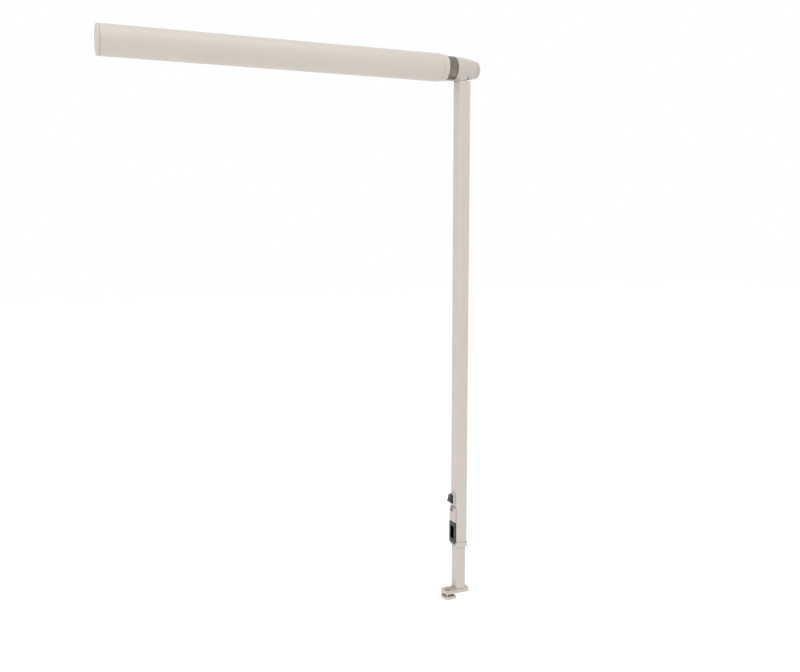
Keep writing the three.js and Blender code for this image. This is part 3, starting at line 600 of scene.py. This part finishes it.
def square_tube(name, low, high, corner, wall, rings=(), rail=None):
    """A rounded square tube.

    Rings cut it across at given heights. Rail opens a slot of that half width in its -X face, above
    the first ring.
    """
    bm = bmesh.new()
    bmesh.ops.create_cube(bm, size=1)
    bmesh.ops.scale(bm, vec=high - low, verts=bm.verts)
    bmesh.ops.translate(bm, vec=(low + high) / 2, verts=bm.verts)
    upright = [e for e in bm.edges if abs(e.verts[0].co.z - e.verts[1].co.z) > 1e-6]
    bmesh.ops.bevel(
        bm, geom=upright, offset=corner, affect="EDGES", segments=10, profile=0.5, material=-1
    )
    ends = [f for f in bm.faces if abs(f.normal.z) > 0.9]
    bmesh.ops.delete(bm, geom=ends, context="FACES_ONLY")
    for height in rings:
        everything = bm.verts[:] + bm.edges[:] + bm.faces[:]
        bmesh.ops.bisect_plane(bm, geom=everything, dist=1e-7, plane_co=(0, 0, height), plane_no=Z)
    if rail:
        for side in (-rail, rail):
            everything = bm.verts[:] + bm.edges[:] + bm.faces[:]
            bmesh.ops.bisect_plane(bm, geom=everything, dist=1e-7, plane_co=(0, side, 0), plane_no=Y)
        gone = []
        for face in bm.faces:
            centre = face.calc_center_median()
            if centre.x < low.x + 1e-5 and abs(centre.y) < rail and centre.z > rings[0]:
                gone.append(face)
        bmesh.ops.delete(bm, geom=gone, context="FACES")
    tube = as_object(bm, name)
    thick = tube.modifiers.new("wall", "SOLIDIFY")
    thick.thickness = wall
    thick.offset = -1
    thick.use_even_offset = True
    settle(tube)
    return tube


def column_tube():
    low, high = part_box("column_tube")
    tube = square_tube("lamp_column", low, high, COLUMN_CORNER, COLUMN_WALL)
    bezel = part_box("switch_body")
    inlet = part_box("inlet_shell")
    throat_low = Vector((low.x - MM, bezel[0].y, bezel[0].z))
    throat_high = Vector((0, bezel[1].y, bezel[1].z))
    combine(tube, block("cutter", throat_low, throat_high), "DIFFERENCE")
    window_y, window_margin = 9.8 * MM, 6.7 * MM
    window_low = Vector((low.x - MM, -window_y, inlet[0].z + window_margin))
    window_high = Vector((0, window_y, inlet[1].z - window_margin))
    combine(tube, block("cutter", window_low, window_high), "DIFFERENCE")
    ease_edges(tube, 0.25 * MM)
    return fit(tube, "column", "painted_tube", tube_paint, "column_tube")


def post_tube():
    low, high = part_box("post_tube")
    post = square_tube("lamp_post", low, high, 2.9 * MM, POST_WALL, [SLOT_BOTTOM], SLOT_WIDTH / 2)
    ease_edges(post, 0.2 * MM)
    return fit(post, "foot", "painted_tube", tube_paint, "post_tube")


def sliding_ring():
    """A ring with a chamfered foot, and the lug that runs in the post's slot."""
    low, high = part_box("sliding_ring")
    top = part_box("column_tube")[0].z - GAP
    bm = bmesh.new()
    bmesh.ops.create_cube(bm, size=1)
    bmesh.ops.scale(bm, vec=(high.x - low.x, high.y - low.y, top - low.z), verts=bm.verts)
    bmesh.ops.translate(bm, vec=(0, 0, (top + low.z) / 2), verts=bm.verts)
    upright = [e for e in bm.edges if abs(e.verts[0].co.z - e.verts[1].co.z) > 1e-6]
    bmesh.ops.bevel(
        bm, geom=upright, offset=COLUMN_CORNER, affect="EDGES", segments=10, profile=0.5, material=-1
    )
    base = [e for e in bm.edges if all(abs(v.co.z - low.z) < 1e-6 for v in e.verts)]
    bmesh.ops.bevel(bm, geom=base, offset=1.3 * MM, affect="EDGES", segments=3, profile=0.5, material=-1)
    ring = as_object(bm, "lamp_sliding_ring")
    inner_low, inner_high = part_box("column_tube")
    inset = Vector((COLUMN_WALL, COLUMN_WALL, 0))
    bore_low = Vector((inner_low.x, inner_low.y, low.z - MM)) + inset
    bore_high = Vector((inner_high.x, inner_high.y, top + MM)) - inset
    combine(ring, block("cutter", bore_low, bore_high, 3.2 * MM), "DIFFERENCE")
    lock = middle("lock_screw")
    drill(ring, 2.05 * MM, (low.x - MM, lock.y, lock.z), (0, lock.y, lock.z))
    lug_y, lug_bottom = 8 * MM, SLOT_BOTTOM + GAP
    lug_low = Vector((-9.3 * MM, -lug_y, lug_bottom))
    lug = block("lug", lug_low, Vector((-6.3 * MM, lug_y, high.z)), 1.2 * MM, 0)
    root_low = Vector((-10.8 * MM, -lug_y, lug_bottom))
    root = block("root", root_low, Vector((-8.2 * MM, lug_y, top)))
    combine(lug, root, "UNION")
    combine(ring, lug, "UNION")
    ease_edges(ring, 0.22 * MM)
    return fit(ring, "column", "painted_casting", tube_paint, "sliding_ring")


# ---- controls -------------------------------------------------------------------------------

def control_box():
    """A cover above the inlet, cut straight along its lower edge."""
    low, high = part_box("control_box")
    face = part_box("column_tube")[0].x - 0.05 * MM
    below = Z * 6 * MM
    cover = block("lamp_control_box", low - below, Vector((face, high.y, high.z)), 3 * MM, 0)
    cut_high = Vector((high.x + MM, high.y + MM, low.z))
    combine(cover, block("cutter", low - below - Vector((MM, MM, MM)), cut_high), "DIFFERENCE")
    bush = middle("breaker_bush")
    drill(cover, radius("breaker_bush") - 0.3 * MM, (low.x - MM, 0, bush.z), (high.x + MM, 0, bush.z))
    ease_edges(cover, 0.6 * MM, 4)
    return fit(cover, "column", "painted_casting", cast_paint, "control_box")


def inlet_shell():
    """A flange that reaches down in front of the ring, and a deep socket around the contacts."""
    low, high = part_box("inlet_shell")
    column_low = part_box("column_tube")[0]
    z = (low.z + high.z) / 2
    shell = block("lamp_inlet", low, Vector((low.x + 1.8 * MM, high.y, high.z)), 3 * MM, 0)
    back_low = Vector((low.x + MM, low.y + 0.2 * MM, column_low.z + GAP))
    back_high = Vector((column_low.x - 0.05 * MM, high.y - 0.2 * MM, high.z - 0.2 * MM))
    combine(shell, block("back", back_low, back_high, 2 * MM, 0), "UNION")
    body_y, body_z = 9.5 * MM, 14.5 * MM
    body_low = Vector((low.x + MM, -body_y, z - body_z))
    combine(shell, block("body", body_low, Vector((high.x, body_y, z + body_z)), 1 * MM, 0), "UNION")
    socket_y, socket_z, floor_wall = 7 * MM, 12 * MM, 2 * MM
    socket_low = Vector((low.x - MM, -socket_y, z - socket_z))
    socket_high = Vector((high.x - floor_wall, socket_y, z + socket_z))
    combine(shell, block("cutter", socket_low, socket_high, 2.2 * MM, 0), "DIFFERENCE")
    for node in ("inlet_screw_lower", "inlet_screw_upper"):
        place = middle(node)
        drill(shell, 2.7 * MM, (low.x - MM, 0, place.z), (low.x + 1.1 * MM, 0, place.z))
    ease_edges(shell, 0.3 * MM)
    return fit(shell, "column", "black_plastic", black_plastic, "inlet_shell")


def inlet_pins():
    for node in ("inlet_pin_earth", "inlet_pin_neutral", "inlet_pin_line"):
        low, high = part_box(node)
        blade = block("lamp_" + node, low, high)
        ease_edges(blade, 0.45 * MM)
        fit(blade, "column", "bright_steel", bright_steel, node)


def switch_bezel():
    low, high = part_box("switch_bezel")
    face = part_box("column_tube")[0].x - GAP
    bezel = block("lamp_switch_bezel", low, Vector((face, high.y, high.z)), 1.5 * MM, 0)
    throat_y, throat_margin = 6.8 * MM, 0.85 * MM
    throat_low = Vector((face - MM, -throat_y, low.z + throat_margin))
    throat_high = Vector((high.x, throat_y, high.z - throat_margin))
    combine(bezel, block("throat", throat_low, throat_high), "UNION")
    opening_y, opening_margin = 5.8 * MM, 1.85 * MM
    opening_low = Vector((low.x - MM, -opening_y, low.z + opening_margin))
    opening_high = Vector((high.x + MM, opening_y, high.z - opening_margin))
    combine(bezel, block("cutter", opening_low, opening_high, 0.6 * MM, 0), "DIFFERENCE")
    ease_edges(bezel, 0.3 * MM)
    return fit(bezel, "column", "white_plastic", cream_plastic, "switch_bezel")


def rocker():
    """A waisted rocker with rounded ends, tipped to its lower position."""
    joint = next(j for j in frame["joints"] if j["name"] == "rocker_tilt")
    pivot = Vector(joint["pos_m"])
    low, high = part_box("rocker")
    tilt = math.radians(ROCKER_TILT)
    # (outward, up) from the pivot, in millimetres: back, end, proud lobe, waist
    outline = [(1.2, 5.5), (-0.3, 8.6), (-3.8, 7.8), (-7.4, 6.9)]
    outline += [(-8.9, 5.9), (-8.85, 5.0), (-8.4, 2.6), (-8.1, 0)]
    outline += [(x, -z) for x, z in outline[-2::-1]]
    bm = bmesh.new()
    verts = [bm.verts.new((x * MM, low.y, z * MM)) for x, z in outline]
    face = bm.faces.new(verts)
    pushed = bmesh.ops.extrude_face_region(bm, geom=[face])
    moved = [v for v in pushed["geom"] if isinstance(v, bmesh.types.BMVert)]
    bmesh.ops.translate(bm, vec=Y * (high.y - low.y), verts=moved)
    place = Matrix.Translation(pivot) @ Matrix.Rotation(tilt, 4, "Y")
    bmesh.ops.transform(bm, matrix=place, verts=bm.verts)
    key = as_object(bm, "lamp_rocker")
    ease_edges(key, 0.5 * MM, 3, 30)
    return fit(key, "rocker", "black_plastic", rocker_plastic, "rocker")


def reset_button():
    low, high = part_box("reset_button")
    r = radius("reset_button")
    dish = [(low.x + 0.45 * MM, 0), (low.x + 0.3 * MM, r * 0.45), (low.x, r * 0.72)]
    profile = dish + [(low.x + 0.15 * MM, r * 0.93), (low.x + 0.5 * MM, r), (high.x, r), (high.x, 0)]
    button = turned("lamp_reset_button", profile, Vector((0, 0, middle("reset_button").z)), steps=48)
    return fit(button, "reset_button", "black_plastic", rocker_plastic, "reset_button")


def breaker_bush():
    """A threaded bush with a six-sided nut."""
    low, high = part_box("breaker_bush")
    z = middle("breaker_bush").z
    nut_r = radius("breaker_bush")
    bush_r, bore = nut_r - MM, radius("reset_button") + GAP
    nut_end = low.x + 1.2 * MM
    nut = rod("lamp_breaker_bush", nut_r, (low.x + 0.2 * MM, 0, z), (nut_end, 0, z), 6)
    ease_edges(nut, 0.2 * MM)
    settle(nut)
    pitch, thread_depth = 0.6 * MM, 0.3 * MM
    crests = int((high.x - low.x) / pitch)
    profile = [(low.x, 0)]
    for i in range(crests):
        profile += [(low.x + pitch * i, bush_r - thread_depth), (low.x + pitch * (i + 0.5), bush_r)]
    profile += [(high.x, bush_r - thread_depth), (high.x, 0)]
    combine(nut, turned("thread", profile, Vector((0, 0, z)), steps=48), "UNION")
    drill(nut, bore, (low.x - MM, 0, z), (high.x + MM, 0, z), 48)
    fit(nut, "column", "bright_steel", bright_steel, "breaker_bush")
    nut.data.set_sharp_from_angle(angle=math.radians(SHARP["thread"]))
    return nut


# ---- foot and clamp -------------------------------------------------------------------------

def foot():
    """Plate, tongue and spigot, melted together as one casting."""
    low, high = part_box("foot_casting")
    plate_top, tongue_top, plate_front = 7.5 * MM, 5.5 * MM, -10 * MM
    foot_low = Vector((plate_front, low.y, low.z))
    casting = block("lamp_foot", foot_low, Vector((high.x, high.y, plate_top)), 5 * MM)
    tongue = block("tongue", low, Vector((plate_front + 10 * MM, high.y, tongue_top)), 9.9 * MM, segments=16)
    combine(casting, tongue, "UNION")
    spigot_x, spigot_y = 7.2 * MM, 10 * MM
    spigot_low = Vector((-spigot_x, -spigot_y, plate_top - MM))
    combine(casting, block("spigot", spigot_low, Vector((spigot_x, spigot_y, high.z)), MM), "UNION")
    pad_low, pad_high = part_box("seat_pad")
    margin = Vector((0.3 * MM, 0.3 * MM, 0))
    recess = block("cutter", pad_low - margin - Z * MM, pad_high + margin + Z * 0.3 * MM)
    combine(casting, recess, "DIFFERENCE")
    screw = middle("clamp_screw")
    drill(casting, 2.8 * MM, (screw.x, 0, -MM), (screw.x, 0, tongue_top + MM), 48)
    drill(casting, 5.8 * MM, (screw.x, 0, tongue_top - 0.35 * MM), (screw.x, 0, tongue_top + MM), 64)
    melt(casting, 0.32 * MM, 6)
    return fit(casting, "foot", "painted_casting", cast_paint, "foot_casting")


def clamp_jaw():
    low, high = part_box("clamp_jaw")
    jaw = block("lamp_clamp_jaw", low, high + X * 12 * MM, 9.9 * MM, segments=16)
    cut_low = Vector((high.x, low.y - MM, low.z - MM))
    combine(jaw, block("cutter", cut_low, high + Vector((13, 1, 1)) * MM), "DIFFERENCE")
    screw = middle("clamp_screw")
    drill(jaw, 2.8 * MM, (screw.x, 0, low.z - MM), (screw.x, 0, high.z + MM), 48)
    for node in ("guide_pin_front", "guide_pin_rear"):
        pin = middle(node)
        drill(jaw, 1.8 * MM, (pin.x, pin.y, low.z - MM), (pin.x, pin.y, high.z + MM), 32)
    groove_half = 0.3 * MM
    for i in range(5):
        x = high.x - (2.0 + 1.6 * i) * MM
        groove_low = Vector((x - groove_half, low.y - MM, high.z - 0.4 * MM))
        groove_high = Vector((x + groove_half, high.y + MM, high.z + MM))
        combine(jaw, block("cutter", groove_low, groove_high), "DIFFERENCE")
    ease_edges(jaw, 0.5 * MM, 3, 50)
    return fit(jaw, "jaw", "painted_casting", cast_paint, "clamp_jaw")


def clamp_screw():
    """A knurled socket-head screw."""
    low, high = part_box("clamp_screw")
    x = middle("clamp_screw").x
    r = radius("clamp_screw")
    head_low = 5.8 * MM
    knurls = 36
    bm = bmesh.new()
    depth = high.z - head_low
    bmesh.ops.create_cone(bm, cap_ends=True, segments=2 * knurls, radius1=r, radius2=r, depth=depth)
    knurl_turn = math.pi / knurls
    valleys = [v for v in bm.verts if round(math.atan2(v.co.y, v.co.x) / knurl_turn) % 2]
    valley_share = 1 - 0.25 * MM / r
    bmesh.ops.scale(bm, vec=(valley_share, valley_share, 1), verts=valleys)
    bmesh.ops.translate(bm, vec=(x, 0, (high.z + head_low) / 2), verts=bm.verts)
    rims = [e for e in bm.edges if abs(e.verts[0].co.z - e.verts[1].co.z) < 1e-6]
    bmesh.ops.bevel(bm, geom=rims, offset=0.35 * MM, affect="EDGES", segments=2, profile=0.5, material=-1)
    screw = as_object(bm, "lamp_clamp_screw")
    shank_r, pitch, thread_depth = 2.5 * MM, 0.8 * MM, 0.4 * MM
    profile = [(low.z, 0)]
    turns = int((head_low - low.z) / pitch)
    for i in range(turns):
        profile += [(low.z + pitch * i, shank_r - thread_depth), (low.z + pitch * (i + 0.5), shank_r)]
    profile += [(head_low + 0.5 * MM, shank_r - thread_depth), (head_low + 0.5 * MM, 0)]
    combine(screw, turned("thread", profile, Vector((x, 0, 0)), Z, 48), "UNION")
    drill(screw, 2.2 * MM, (x, 0, high.z - 2.5 * MM), (x, 0, high.z + MM), 6)
    fit(screw, "clamp_screw", "painted_casting", cast_paint, "clamp_screw")
    screw.data.set_sharp_from_angle(angle=math.radians(SHARP["thread"]))
    return screw


def guide_pins():
    for node in ("guide_pin_front", "guide_pin_rear"):
        low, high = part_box(node)
        r, place = radius(node), middle(node)
        profile = [(low.z, 0), (low.z, r * 0.7), (low.z + 0.5 * MM, r), (high.z, r), (high.z, 0)]
        pin = turned("lamp_" + node, profile, Vector((place.x, place.y, 0)), Z, 32)
        ease_edges(pin, 0.15 * MM)
        fit(pin, "foot", "bright_steel", bright_steel, node)


def seat_pad():
    low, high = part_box("seat_pad")
    pad = block("lamp_seat_pad", low, high, 1.5 * MM)
    rows, groove_half = 7, 0.35 * MM
    for i in range(rows):
        x = low.x + (high.x - low.x) * (i + 0.5) / rows
        groove_low = Vector((x - groove_half, low.y - MM, low.z - MM))
        groove_high = Vector((x + groove_half, high.y + MM, low.z + 0.4 * MM))
        combine(pad, block("cutter", groove_low, groove_high), "DIFFERENCE")
    ease_edges(pad, 0.15 * MM)
    return fit(pad, "foot", "black_rubber", black_rubber, "seat_pad")


# ---- screws ---------------------------------------------------------------------------------

def screw_pattern(head_r, head_depth, shank_r, length):
    """A pan-head screw along +Z with its head's underside at the origin and a cross recess."""
    profile = [(-length, 0), (-length + 0.6 * MM, shank_r), (0, shank_r), (0, head_r)]
    steps = 7
    for i in range(steps + 1):
        turn = (i / steps) * math.pi / 2
        along = head_depth * (0.35 + 0.65 * math.sin(turn))
        profile.append((along, head_r * math.cos(turn) ** 0.55 if i < steps else 0))
    screw = turned("pattern", profile, Vector((0, 0, 0)), Z, 48)
    arm, half = head_r * 0.55, head_r * 0.12
    deep = head_depth * 0.45
    for long, short in ((arm, half), (half, arm)):
        recess = block("cutter", Vector((-long, -short, deep)), Vector((long, short, head_depth * 2)))
        combine(screw, recess, "DIFFERENCE")
    return screw


def place_screws():
    outward = {
        "post": (X, "foot"),
        "ballast": (Y, "column"),
        "elbow": (Y, "column"),
        "inlet": (-X, "column"),
    }
    for kind, (direction, body) in outward.items():
        for end in ("lower", "upper"):
            place_screw(f"{kind}_screw_{end}", direction, body, kind)
    for end in ("near", "far"):
        place_screw(f"{end}_cap_screw", Y, "head", "cap")


def place_screw(node, direction, body, kind):
    low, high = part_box(node)
    across = size(node).z / 2
    length = abs((high - low).dot(direction))
    depth = 0.8 * MM if kind == "inlet" else 1.6 * MM
    screw = screw_pattern(across, depth, SCREW_SHANK, length - depth)
    centre = middle(node)
    tip = centre + direction * (length / 2 - depth)
    screw.data.transform(Matrix.Translation(tip) @ to_axis(direction))
    screw.name = "lamp_" + node
    if kind == "inlet":
        fit(screw, body, "dark_metal", dark_steel, node)
    else:
        fit(screw, body, "bright_steel", bright_steel, node)
    screw.data.set_sharp_from_angle(angle=math.radians(SHARP["screw"]))


def lock_screw():
    low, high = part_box("lock_screw")
    place = middle("lock_screw")
    r = radius("lock_screw")
    head_end = low.x + 2.2 * MM
    profile = [
        (low.x, 0),
        (low.x, r - 0.4 * MM),
        (low.x + 0.4 * MM, r),
        (head_end, r),
        (head_end, 1.75 * MM),
        (high.x, 1.75 * MM),
        (high.x, 0),
    ]
    screw = turned("lamp_lock_screw", profile, Vector((0, place.y, place.z)), steps=48)
    drill(screw, 1.5 * MM, (low.x - MM, place.y, place.z), (low.x + 1.4 * MM, place.y, place.z), 6)
    ease_edges(screw, 0.12 * MM)
    return fit(screw, "lock_screw", "bright_steel", bright_steel, "lock_screw")


# ---- CAD nodes that keep their shape --------------------------------------------------------

WIRING = ["ballast", "mains_loom", "lamp_loom", "head_loom", "return_wire"]
KEPT = [
    (black_plastic, ["breaker_body", "switch_body"]),
    (bright_steel, ["pivot_nut", "pivot_tube", "lamp_cap_near", "lamp_cap_far"]),
    (brass, ["lock_pad", "pivot_bush_outer", "pivot_bush_inner", "thrust_washer"]),
    (white_plastic, WIRING + ["lampholder_near", "lampholder_far"]),
    (reflector_white, ["reflector"]),
    (lamp_white, ["lamp_glass"]),
    (black_rubber, ["friction_washer"]),
]


def finish_kept_nodes():
    for material, nodes in KEPT:
        for node in nodes:
            frame["nodes"][node].data.materials.clear()
            frame["nodes"][node].data.materials.append(material)


# ---- studio ---------------------------------------------------------------------------------

CAMERA_PLACE = (-0.7727, -1.4610, 0.6766)
CAMERA_DIP = 0.115  # radians below level
CAMERA_TURN = -0.420  # radians about Z
FLOOR_DROP = 0.25  # below the lamp's lowest point
LIGHT_TARGET = (-0.2, 0, 0.6)


def camera():
    data = bpy.data.cameras.new("camera")
    data.sensor_width = 36
    data.lens = 40.54
    data.shift_x = -0.000625
    data.shift_y = 0.000625
    data.clip_start = 0.05
    view = bpy.data.objects.new("camera", data)
    view.location = CAMERA_PLACE
    view.rotation_euler = (math.pi / 2 - CAMERA_DIP, 0, CAMERA_TURN)
    bpy.context.scene.collection.objects.link(view)
    bpy.context.scene.camera = view


def floor():
    level = cad_bounds[0][2] - FLOOR_DROP
    bm = bmesh.new()
    bmesh.ops.create_grid(bm, x_segments=1, y_segments=1, size=12)
    bmesh.ops.translate(bm, vec=(0, 0, level), verts=bm.verts)
    ground = as_object(bm, "floor")
    material, _ = shader_of(
        "floor_white",
        Base_Color=(0.93, 0.93, 0.93, 1),
        Roughness=0.9,
        Specular_IOR_Level=0.1,
        Emission_Color=(1, 1, 1, 1),
        Emission_Strength=0.12,
    )
    ground.data.materials.append(material)


def area_light(name, place, target, wide, power):
    data = bpy.data.lights.new(name, "AREA")
    data.shape = "RECTANGLE"
    data.size = data.size_y = wide
    data.energy = power
    light = bpy.data.objects.new(name, data)
    light.location = place
    light.rotation_euler = (Vector(target) - Vector(place)).to_track_quat("-Z", "Y").to_euler()
    bpy.context.scene.collection.objects.link(light)


def studio():
    world = bpy.data.worlds.new("studio")
    bpy.context.scene.world = world
    world.use_nodes = True
    background = world.node_tree.nodes["Background"]
    background.inputs["Color"].default_value = (1, 1, 1, 1)
    background.inputs["Strength"].default_value = 1.0
    area_light("top_softbox", (-0.6, -0.8, 2.6), LIGHT_TARGET, 2.0, 14)
    area_light("front_softbox", (-1.6, -2.2, 1.4), LIGHT_TARGET, 1.6, 6)
    bpy.context.scene.view_settings.view_transform = "Standard"


camera()
studio()
floor()
head_tube()
near_cap()
far_cap()
collar_ring()
diffuser()
elbow()
elbow_spigot()
nose_cap()
column_tube()
post_tube()
sliding_ring()
control_box()
inlet_shell()
inlet_pins()
switch_bezel()
rocker()
reset_button()
breaker_bush()
foot()
clamp_jaw()
clamp_screw()
guide_pins()
seat_pad()
place_screws()
lock_screw()
finish_kept_nodes()
